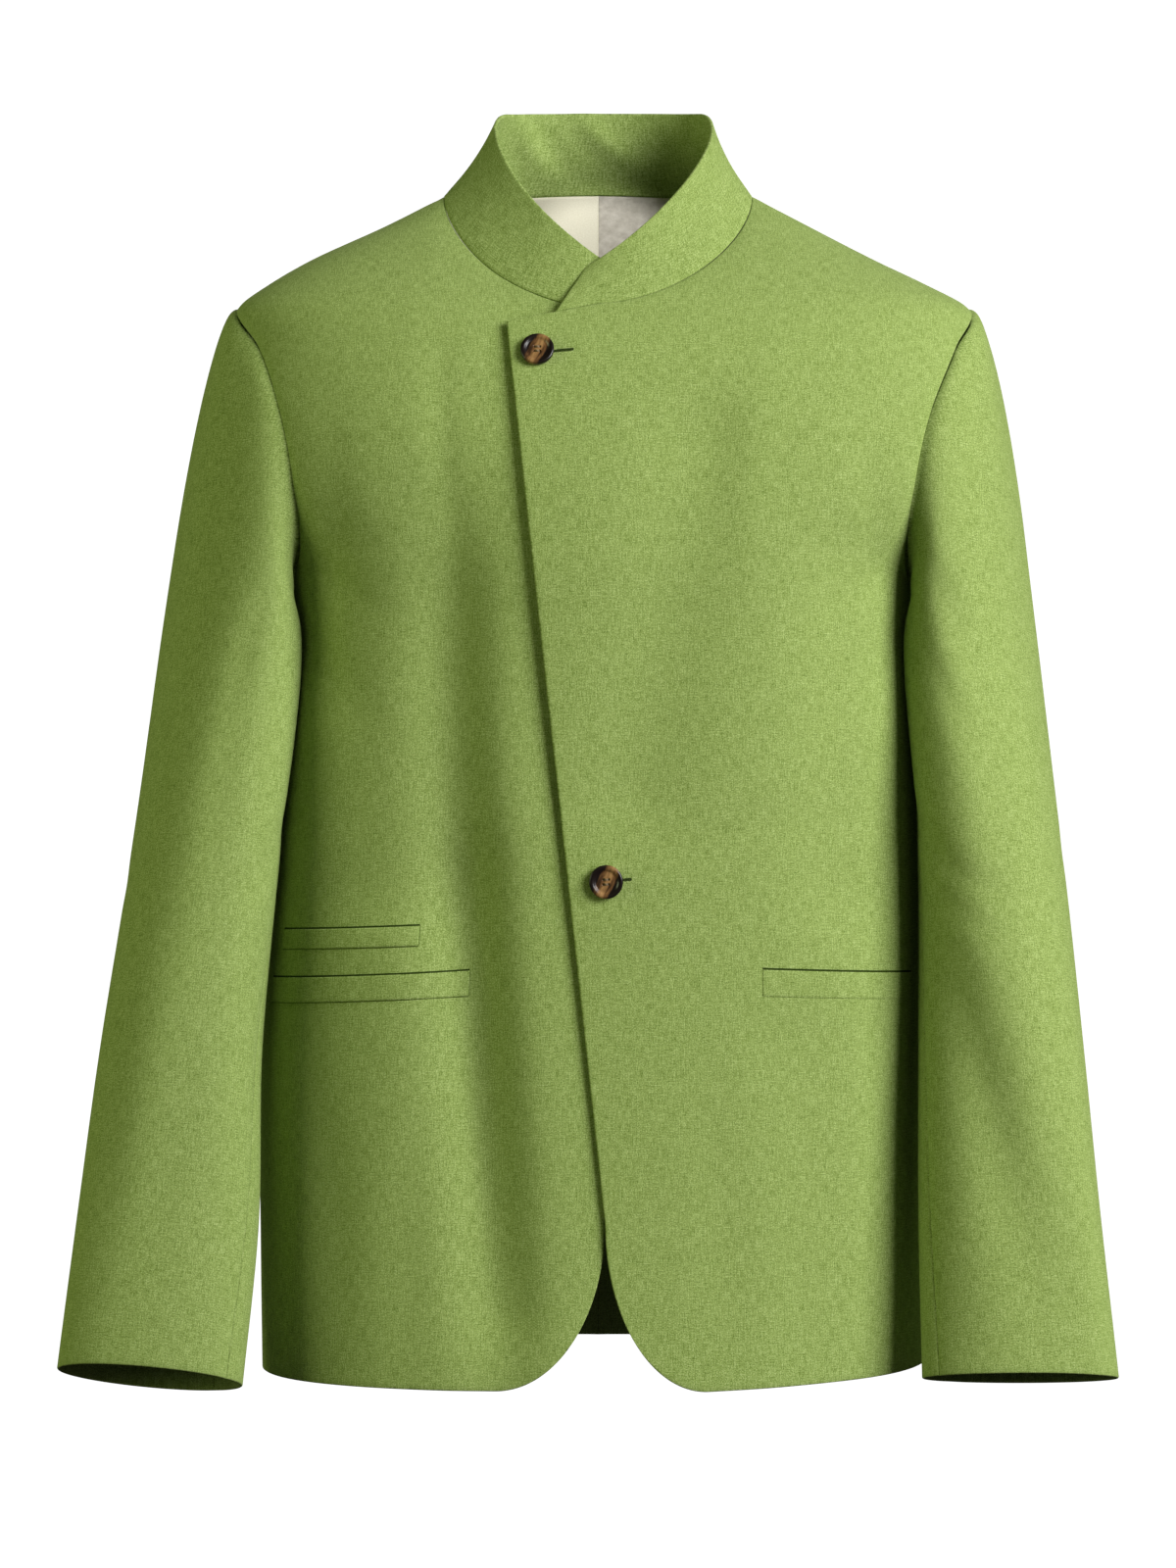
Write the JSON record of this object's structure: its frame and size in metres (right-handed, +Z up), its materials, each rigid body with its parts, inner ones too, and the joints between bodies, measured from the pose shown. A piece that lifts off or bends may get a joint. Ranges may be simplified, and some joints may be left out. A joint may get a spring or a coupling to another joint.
{
  "type": "mandarin collar blazer",
  "caption": "Hollow, filled-out wool blazer with a stand collar, a lapped front that curves away at the hem, two-piece sleeves, pocket welts, buttons and a part-lined back neck.",
  "frame": {"origin": "middle of the neck opening at the height where the collar meets the shoulder seams, where the wearer's shoulders carry it", "axes": "+Z up, -Y out of the front, +X towards the wearer's left"},
  "size_m": [0.6311, 0.2465, 0.7815],
  "materials": {
    "wool_green": "matt green wool flannel, finely mottled",
    "lining_cream": "cream lining cloth with a soft shine",
    "lining_grey": "warm grey mottled lining cloth",
    "horn_brown": "polished brown horn with an amber band"
  },
  "bodies": {
    "root": {"front_left": "wool_green", "front_right": "wool_green", "back_left": "wool_green", "back_right": "wool_green", "top_sleeve_left": "wool_green", "top_sleeve_right": "wool_green", "under_sleeve_left": "wool_green", "under_sleeve_right": "wool_green", "collar": "wool_green", "neck_lining_left": "lining_grey", "neck_lining_right": "lining_cream", "pocket_welt_left": "wool_green", "pocket_welt_right": "wool_green", "ticket_welt_right": "wool_green", "button_top": "horn_brown", "button_lower": "horn_brown"}
  },
  "joints": []
}
